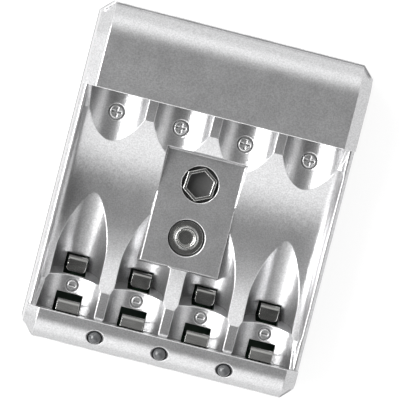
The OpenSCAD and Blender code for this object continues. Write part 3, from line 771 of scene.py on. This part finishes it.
def bent_sheet(path_mm: list[tuple[float, float]], width_mm: float, thick_mm: float) -> bmesh.types.BMesh:
    """Make a strip of sheet that follows a path in Y and Z.

    Args:
        path_mm: Points of the path.
        width_mm: Width of the strip along X.
        thick_mm: Thickness of the sheet.

    Returns:
        The closed strip with broken edges.
    """
    points = [Vector((0.0, y, z)) * MM for y, z in path_mm]
    shape = bmesh.new()
    rings = []
    for k, point in enumerate(points):
        before = (point - points[k - 1]).normalized() if k else (points[1] - point).normalized()
        after = (points[k + 1] - point).normalized() if k + 1 < len(points) else before
        across = Vector((0.0, -(before + after).z, (before + after).y)).normalized()
        mitre = max(MITRE_LEAST, across.dot(Vector((0.0, -after.z, after.y))))
        rise = across * (thick_mm * MM / 2 / mitre)
        side = Vector((width_mm * MM / 2, 0.0, 0.0))
        corners = (side + rise, -side + rise, -side - rise, side - rise)
        rings.append([shape.verts.new(point + corner) for corner in corners])
    for lower, upper in zip(rings, rings[1:]):
        for k in range(4):
            shape.faces.new((lower[k], lower[(k + 1) % 4], upper[(k + 1) % 4], upper[k]))
    shape.faces.new(rings[0])
    shape.faces.new(reversed(rings[-1]))
    broken = thick_mm * MM * BROKEN_EDGE
    bmesh.ops.bevel(shape, geom=shape.edges[:], offset=broken, segments=1, affect="EDGES")
    return shape


def turned_shape(profile_mm: list[tuple[float, float]], steps: int = 14) -> bmesh.types.BMesh:
    """Turn a profile about the upright axis.

    Args:
        profile_mm: Radius and height of each point, from pole to pole.
        steps: Number of sides.

    Returns:
        The closed shape with smooth faces.
    """
    shape = bmesh.new()
    line = [shape.verts.new((radius * MM, 0.0, height * MM)) for radius, height in profile_mm]
    edges = [shape.edges.new(pair) for pair in zip(line, line[1:])]
    bmesh.ops.spin(
        shape, geom=line + edges, axis=(0, 0, 1), cent=(0, 0, 0), angle=math.tau, steps=steps, use_merge=True
    )
    bmesh.ops.remove_doubles(shape, verts=shape.verts[:], dist=WELD_M)
    for face in shape.faces:
        face.smooth = True
    return shape


@dataclass
class Body:
    """Painted housing, cover, feet and screws.

    Attributes:
        dresser: Source of materials.
        feet: Number of rubber feet.
    """

    dresser: Dresser
    feet: int = 4

    def build(self) -> None:
        """Dress the body's nodes."""
        self.dresser.dress("upper_housing", SILVER_PAINT)
        self.dresser.dress("lower_cover", GREY_ABS)
        self.dresser.dress("cover_screws", ZINC_STEEL)
        for number in range(1, self.feet + 1):
            self.dresser.dress(f"rubber_foot_{number}", RUBBER)


@dataclass
class Contacts:
    """Leaf contacts, positive plates, snaps and their strip.

    Attributes:
        dresser: Source of materials.
        shade_start_mm: Depth below the top of a snap at which its painted shade begins.
        shade_full_mm: Depth at which the painted shade of a snap is full.
    """

    dresser: Dresser
    shade_start_mm: float = 0.5
    shade_full_mm: float = 1.6

    def build(self) -> None:
        """Dress the contacts."""
        for number in range(1, BAYS + 1):
            for kind in ("positive_contact", "aa_contact", "aaa_contact"):
                self.dresser.dress(f"{kind}_{number}", SPRING_SHEET)
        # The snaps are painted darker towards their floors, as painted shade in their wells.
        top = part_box("snap_stud")[1].z / MM
        nickel = replace(DRAWN_NICKEL, deep_mm=(top - self.shade_full_mm, top - self.shade_start_mm))
        for node in ("snap_socket", "snap_stud"):
            self.dresser.dress(node, nickel)
        self.dresser.dress("snap_board", LAMINATE)
        for node in ("snap_lead_1", "snap_lead_2"):
            self.dresser.dress(node, TINNED)


@dataclass
class Electronics:
    """Board, its pieces, the lamps and the inlet.

    Attributes:
        dresser: Source of materials.
        rows: Layer of repeated pieces.
        leg_pitch_mm: Distance between the legs of the chip.
        leg_w_mm: Width of a leg.
        leg_t_mm: Thickness of a leg.
        leg_reach_mm: Distance that a leg stands out.
        leg_shoulder: Share of its reach at which a leg begins to drop.
        leg_knee: Share of its reach at which a leg has dropped.
        diode_count: Number of diodes.
        diode_tab_mm: Width of a diode's tab.
        cap_t_mm: Thickness of a resistor's end cap.
        cap_l_mm: Length of a resistor's end cap.
        cap_lift_mm: Height of an end cap above the board.
        resistor_count: Number of resistors.
        resistor_l_mm: Length of a resistor.
        joint_r_mm: Radius of a solder joint at the board.
        joint_h_mm: Height of a solder joint.
        tail_half_mm: Half the thickness of a plate's tail.
        lamp_lead_mm: Distance between the leads of a lamp.
        lead_tip_mm: Length of the tip of a lead.
        spring_w_mm: Width of the spring in the inlet.
        spring_t_mm: Thickness of the spring.
        spring_bow_mm: Rise of the spring towards the plug.
        spring_end_mm: Distance of the spring from both ends of the pin.
        spring_steps: Number of straight pieces that the bow is made of.
        bore_r_mm: Radius of the inlet.
    """

    dresser: Dresser
    rows: RowLayer
    leg_pitch_mm: float = 1.27
    leg_w_mm: float = 0.42
    leg_t_mm: float = 0.2
    leg_reach_mm: float = 1.0
    leg_shoulder: float = 0.3
    leg_knee: float = 0.5
    diode_count: int = 4
    diode_tab_mm: float = 1.5
    cap_t_mm: float = 0.06
    cap_l_mm: float = 0.45
    cap_lift_mm: float = 0.02
    resistor_count: int = 5
    resistor_l_mm: float = 3.2
    joint_r_mm: float = 0.95
    joint_h_mm: float = 0.6
    tail_half_mm: float = 0.2
    lamp_lead_mm: float = 2.54
    lead_tip_mm: float = 0.1
    spring_w_mm: float = 1.6
    spring_t_mm: float = 0.2
    spring_bow_mm: float = 0.6
    spring_end_mm: float = 1.0
    spring_steps: int = 12
    bore_r_mm: float = 2.9

    def build(self) -> None:
        """Dress the nodes and add the small metal pieces."""
        finishes = {
            RESIST: ("main_board",),
            ZINC_STEEL: ("board_screws",),
            EPOXY: ("controller_chip", "diodes", "resistors", "power_transistor", "jack_body"),
            SLEEVE: ("bulk_capacitor", "output_capacitor"),
            FERRITE: ("power_inductor",),
            ALUMINIUM: ("heat_sink",),
            BRASS: ("jack_pin",),
            LENS: tuple(f"led_{number}" for number in range(1, LAMPS + 1)),
        }
        for finish, nodes in finishes.items():
            for node in nodes:
                self.dresser.dress(node, finish)
        self._chip_legs()
        self._diode_tabs()
        self._resistor_caps()
        self._solder_joints()
        self._inlet_spring()

    def _leg(self, height_mm: float, width_mm: float) -> bmesh.types.BMesh:
        """Make a leg that leaves a body, drops and stands on the board.

        Args:
            height_mm: Height at which it leaves the body.
            width_mm: Its width.

        Returns:
            The leg, pointing to +Y from the origin.
        """
        foot = self.leg_t_mm / 2
        reach = self.leg_reach_mm
        shoulder, knee = self.leg_shoulder * reach, self.leg_knee * reach
        path = [(0.0, height_mm), (shoulder, height_mm), (knee, foot), (reach, foot)]
        return bent_sheet(path, width_mm, self.leg_t_mm)

    def _chip_legs(self) -> None:
        """Stand the chip on two rows of legs."""
        low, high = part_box("controller_chip")
        pitch = Vector((self.leg_pitch_mm * MM, 0.0, 0.0))
        count = int((high.x - low.x) / pitch.x)
        first = (low.x + high.x - (count - 1) * pitch.x) / 2
        rows = [
            Row(count, Vector((first, high.y, low.z)), pitch),
            Row(count, Vector((first, low.y, low.z)), pitch, 180.0),
        ]
        leg = self._leg((high.z - low.z) / MM / 2, self.leg_w_mm)
        self.rows.lay("chip_legs", leg, rows, self.dresser.material(TINNED), "wire")

    def _diode_tabs(self) -> None:
        """Give each diode a tab at both ends."""
        low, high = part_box("diodes")
        size = (high.y - low.y) / self.diode_count
        pitch = Vector((0.0, (high.y - low.y - size) / (self.diode_count - 1), 0.0))
        first = low.y + size / 2
        rows = [
            Row(self.diode_count, Vector((high.x, first, low.z)), pitch, -90.0),
            Row(self.diode_count, Vector((low.x, first, low.z)), pitch, 90.0),
        ]
        tab = self._leg((high.z - low.z) / MM / 2, self.diode_tab_mm)
        self.rows.lay("diode_tabs", tab, rows, self.dresser.material(TINNED), "wire")

    def _resistor_caps(self) -> None:
        """Cap both ends of each resistor with plated metal."""
        low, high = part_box("resistors")
        length = self.resistor_l_mm * MM
        pitch = Vector(((high.x - low.x - length) / (self.resistor_count - 1), 0.0, 0.0))
        middle = (low.y + high.y) / 2
        rows = [
            Row(self.resistor_count, Vector((low.x + length, middle, low.z)), pitch, -90.0),
            Row(self.resistor_count, Vector((low.x, middle, low.z)), pitch, 90.0),
        ]
        half, top = self.cap_t_mm / 2, (high.z - low.z) / MM + self.cap_t_mm / 2
        path = [(half, self.cap_lift_mm), (half, top), (-self.cap_l_mm, top)]
        cap = bent_sheet(path, (high.y - low.y) / MM, self.cap_t_mm)
        self.rows.lay("resistor_caps", cap, rows, self.dresser.material(SOLDER), "wire")

    def _solder_joints(self) -> None:
        """Put a joint under the board at each plate tail, lamp lead and snap lead."""
        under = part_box("main_board")[0].z
        still = Vector((0.0, 0.0, 0.0))
        rows = []
        for number in range(1, BAYS + 1):
            low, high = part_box(f"positive_contact_{number}")
            rows.append(Row(1, Vector(((low.x + high.x) / 2, high.y - self.tail_half_mm * MM, under)), still))
        for number in range(1, LAMPS + 1):
            low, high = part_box(f"led_{number}")
            lead = Vector((self.lamp_lead_mm * MM, 0.0, 0.0))
            first = Vector(((low.x + high.x) / 2, self._lamp_root(number), under)) - lead / 2
            rows.append(Row(2, first, lead))
        for node in ("snap_lead_1", "snap_lead_2"):
            low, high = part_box(node)
            rows.append(Row(1, Vector(((low.x + high.x) / 2, (low.y + high.y) / 2, under)), still))
        profile = [(self.joint_r_mm * radius, self.joint_h_mm * height) for radius, height in JOINT_OUTLINE]
        self.rows.lay("solder_joints", turned_shape(profile), rows, self.dresser.material(SOLDER), "wire")

    def _lamp_root(self, number: int) -> float:
        """Find where the leads of a lamp stand, from the lowest points of its node.

        Args:
            number: Number of the lamp.

        Returns:
            Their place along Y, in metres.
        """
        points = [vertex.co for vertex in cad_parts[f"led_{number}"].data.vertices]
        lowest = min(point.z for point in points)
        tips = [point.y for point in points if point.z < lowest + self.lead_tip_mm * MM]
        return (min(tips) + max(tips)) / 2

    def _inlet_spring(self) -> None:
        """Bow a contact spring along the floor of the inlet."""
        low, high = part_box("jack_pin")
        axis = Vector(((low.x + high.x) / 2, low.y, (low.z + high.z) / 2))
        length = (high.y - low.y) / MM - 2 * self.spring_end_mm
        floor = -self.bore_r_mm + self.spring_t_mm
        shares = [k / self.spring_steps for k in range(self.spring_steps + 1)]
        path = [
            (self.spring_end_mm + length * share, floor + self.spring_bow_mm * math.sin(math.pi * share) ** 2)
            for share in shares
        ]
        spring = bent_sheet(path, self.spring_w_mm, self.spring_t_mm)
        row = Row(1, axis, Vector((0.0, 0.0, 0.0)))
        self.rows.lay("inlet_spring", spring, [row], self.dresser.material(SPRING_SHEET), "contact_metal")


@dataclass(frozen=True)
class SoftBox:
    """Soft light far away in one direction.

    Attributes:
        tilt_deg: Angle of its middle from straight up.
        around_deg: Angle of its middle round the object, from +X towards +Y.
        inner_deg: Half angle of its even middle.
        outer_deg: Half angle at which it ends.
        strength: Its radiance.
    """

    tilt_deg: float
    around_deg: float
    inner_deg: float
    outer_deg: float
    strength: float

    def towards(self) -> Vector:
        """Give the direction of its middle."""
        tilt, around = math.radians(self.tilt_deg), math.radians(self.around_deg)
        return Vector((math.sin(tilt) * math.cos(around), math.sin(tilt) * math.sin(around), math.cos(tilt)))


# Soft boxes stand in a ring round the table under a dark ceiling: the left and the front are the strongest.
FRONT_BOX = SoftBox(66.0, 270.0, 20.0, 48.0, 1.55)
FRONT_LEFT_BOX = SoftBox(54.0, 225.0, 14.0, 36.0, 0.9)
LEFT_BOX = SoftBox(52.0, 180.0, 18.0, 29.0, 9.0)
BACK_LEFT_BOX = SoftBox(66.0, 120.0, 20.0, 48.0, 1.1)
BACK_RIGHT_BOX = SoftBox(66.0, 60.0, 20.0, 48.0, 0.88)
RIGHT_CARD = SoftBox(76.0, 0.0, 14.0, 38.0, 1.1)
# A small bare lamp gives the lenses and rims their points of light.
SPOT = SoftBox(30.0, 140.0, 1.5, 4.0, 60.0)


@dataclass
class Studio:
    """Floor, soft light and camera.

    Attributes:
        dresser: Source of materials.
        ambient: Radiance from everywhere.
        boxes: The lights.
        floor_m: Half width of the floor.
        field_mm: Width seen by the camera at the object.
        roll_deg: Turn of the object in the picture.
        lean_deg: Lean of the camera to -X and to +Y.
        distance_m: Distance of the camera.
        target_mm: Point in the middle of the picture.
        sensor_mm: Width of the camera's sensor.
        sight_m: Distance that the camera sees.
    """

    dresser: Dresser
    ambient: float = 0.13
    boxes: tuple[SoftBox, ...] = (
        FRONT_BOX,
        FRONT_LEFT_BOX,
        LEFT_BOX,
        BACK_LEFT_BOX,
        BACK_RIGHT_BOX,
        RIGHT_CARD,
        SPOT,
    )
    floor_m: float = 2.0
    field_mm: float = 91.43
    roll_deg: float = 14.4
    lean_deg: tuple[float, float] = (3.1, 2.0)
    distance_m: float = 1.2
    target_mm: tuple[float, float, float] = (0.54, 0.06, 20.0)
    sensor_mm: float = 36.0
    sight_m: float = 10.0

    def build(self) -> None:
        """Build the floor, the world light and the camera."""
        self._floor()
        self._world()
        self._camera()

    def _floor(self) -> None:
        """Lay a plain pale floor under the feet."""
        mesh = bpy.data.meshes.new("floor")
        size = self.floor_m
        corners = [(-size, -size, 0), (size, -size, 0), (size, size, 0), (-size, size, 0)]
        mesh.from_pydata(corners, [], [(0, 1, 2, 3)])
        mesh.materials.append(self.dresser.material(PAPER))
        floor = bpy.data.objects.new("floor", mesh)
        bpy.context.scene.collection.objects.link(floor)

    def _world(self) -> None:
        """Light the scene with soft boxes in a dark room."""
        world = bpy.data.worlds.new("studio")
        bpy.context.scene.world = world
        world.use_nodes = True
        world.node_tree.nodes.clear()
        graph = Graph(world.node_tree)
        way = graph.add("ShaderNodeTexCoord").outputs["Generated"]
        light = None
        for box in self.boxes:
            facing = graph.add(
                "ShaderNodeVectorMath", {"operation": "DOT_PRODUCT"}, {1: box.towards()}, {0: way}
            )
            ends = (math.cos(math.radians(box.outer_deg)), math.cos(math.radians(box.inner_deg)))
            lobe = graph.ramp(facing.outputs["Value"], ends, (0.0, box.strength), smooth=True)
            total = graph.add("ShaderNodeMath", {"operation": "ADD"}, {0: self.ambient}, {1: lobe})
            if light:
                graph.tree.links.new(light, total.inputs[0])
            light = total.outputs[0]
        background = graph.add(
            "ShaderNodeBackground", None, {"Color": (1.0, 1.0, 1.0, 1.0)}, {"Strength": light}
        )
        graph.add("ShaderNodeOutputWorld", None, None, {"Surface": background.outputs["Background"]})

    def _camera(self) -> None:
        """Place a long lens nearly straight above, turned as in the photograph."""
        scene = bpy.context.scene
        data = bpy.data.cameras.new("camera")
        camera = bpy.data.objects.new("camera", data)
        scene.collection.objects.link(camera)
        data.sensor_width = self.sensor_mm
        data.lens = self.sensor_mm * self.distance_m / (self.field_mm * MM)
        data.clip_end = self.sight_m
        target = Vector(self.target_mm) * MM
        lean_x, lean_y = (math.tan(math.radians(a)) for a in self.lean_deg)
        back = Vector((-lean_x, lean_y, 1.0)).normalized()
        roll = math.radians(self.roll_deg)
        up = Vector((-math.sin(roll), math.cos(roll), 0.0))
        right = up.cross(back).normalized()
        up = back.cross(right)
        turn = Matrix((right, up, back)).transposed().to_4x4()
        camera.matrix_world = Matrix.Translation(target + back * self.distance_m) @ turn
        scene.camera = camera
        scene.view_settings.view_transform = "Standard"


def main() -> None:
    """Build every part of the scene in order."""
    logging.basicConfig(level=logging.INFO, format="%(message)s")
    dresser = Dresser()
    Body(dresser).build()
    Contacts(dresser).build()
    Electronics(dresser, RowLayer()).build()
    Studio(dresser).build()


if __name__ == "__main__":
    main()
